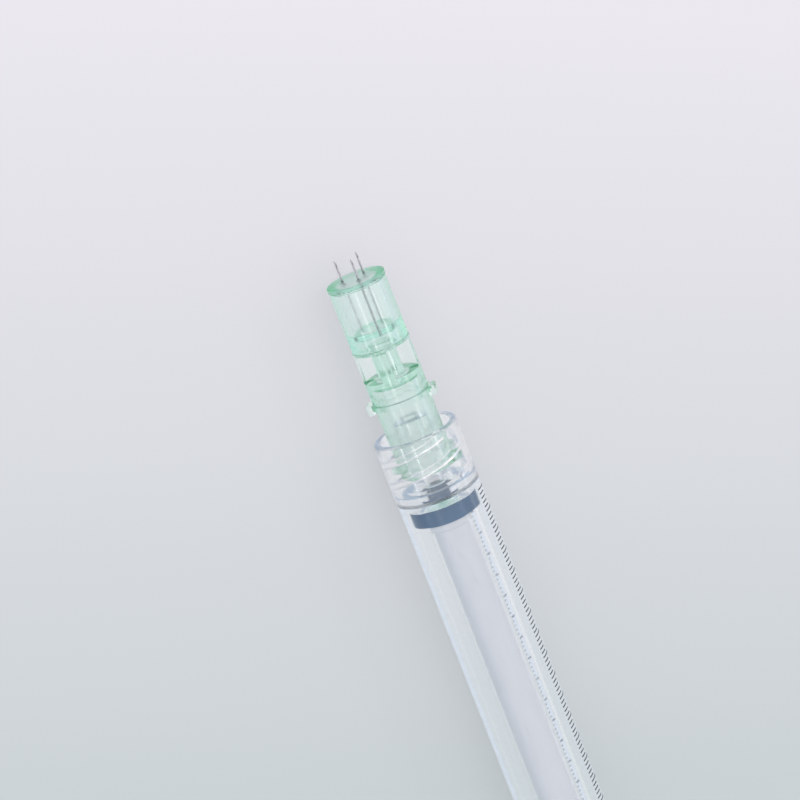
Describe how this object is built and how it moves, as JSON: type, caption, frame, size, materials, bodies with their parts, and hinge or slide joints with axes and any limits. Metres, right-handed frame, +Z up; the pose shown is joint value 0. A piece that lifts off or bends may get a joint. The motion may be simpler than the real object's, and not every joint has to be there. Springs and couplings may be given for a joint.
{
  "type": "triple mesotherapy needle on its syringe",
  "caption": "Short mesotherapy needles side by side in a clear green hub, locked by a threaded collar on a small graduated syringe with a plunger.",
  "frame": {"origin": "centre of the whole object's footprint, on the surface that it lies on", "axes": "+X along the syringe from the needles to the thumb press, +Y along the finger flange, +Z up"},
  "size_m": [0.1, 0.02, 0.0095],
  "materials": {
    "needle_steel": "polished stainless steel tube",
    "adhesive": "clear cured adhesive, glossy",
    "cap_plastic": "clear pale green moulded plastic, glossy",
    "hub_plastic": "clear mint green moulded plastic, glossy",
    "collar_plastic": "clear colourless moulded plastic, glossy",
    "barrel_plastic": "clear, faintly blue moulded plastic, glossy",
    "stopper_rubber": "slate blue-grey moulded rubber, satin",
    "rod_plastic": "milky white moulded plastic"
  },
  "bodies": {
    "barrel": {"barrel": "barrel_plastic"},
    "plunger": {"plunger_rod": "rod_plastic", "stopper": "stopper_rubber"},
    "lock_collar": {"lock_collar": "collar_plastic"},
    "needle_unit": {"needle_1": "needle_steel", "needle_2": "needle_steel", "needle_3": "needle_steel", "adhesive_bead_1": "adhesive", "adhesive_bead_2": "adhesive", "adhesive_bead_3": "adhesive", "needle_cap": "cap_plastic", "needle_carrier": "hub_plastic", "hub_body": "hub_plastic"}
  },
  "joints": [
    {"name": "plunger_slide", "type": "slide", "parent": "barrel", "child": "plunger", "axis": [1, 0, 0], "range_m": [0, 0.0515]},
    {"name": "collar_turn", "type": "hinge", "parent": "barrel", "child": "lock_collar", "pos_m": [-0.0225, 0, 0.00475], "axis": [1, 0, 0], "range_deg": [0, 330]},
    {"name": "needle_unit_travel", "type": "slide", "parent": "barrel", "child": "needle_unit", "axis": [-1, 0, 0], "range_m": [0, 0.00458]}
  ],
  "couplings": [
    {"joint": "collar_turn", "follows": "needle_unit_travel", "rad_per_m": 1256.6}
  ]
}
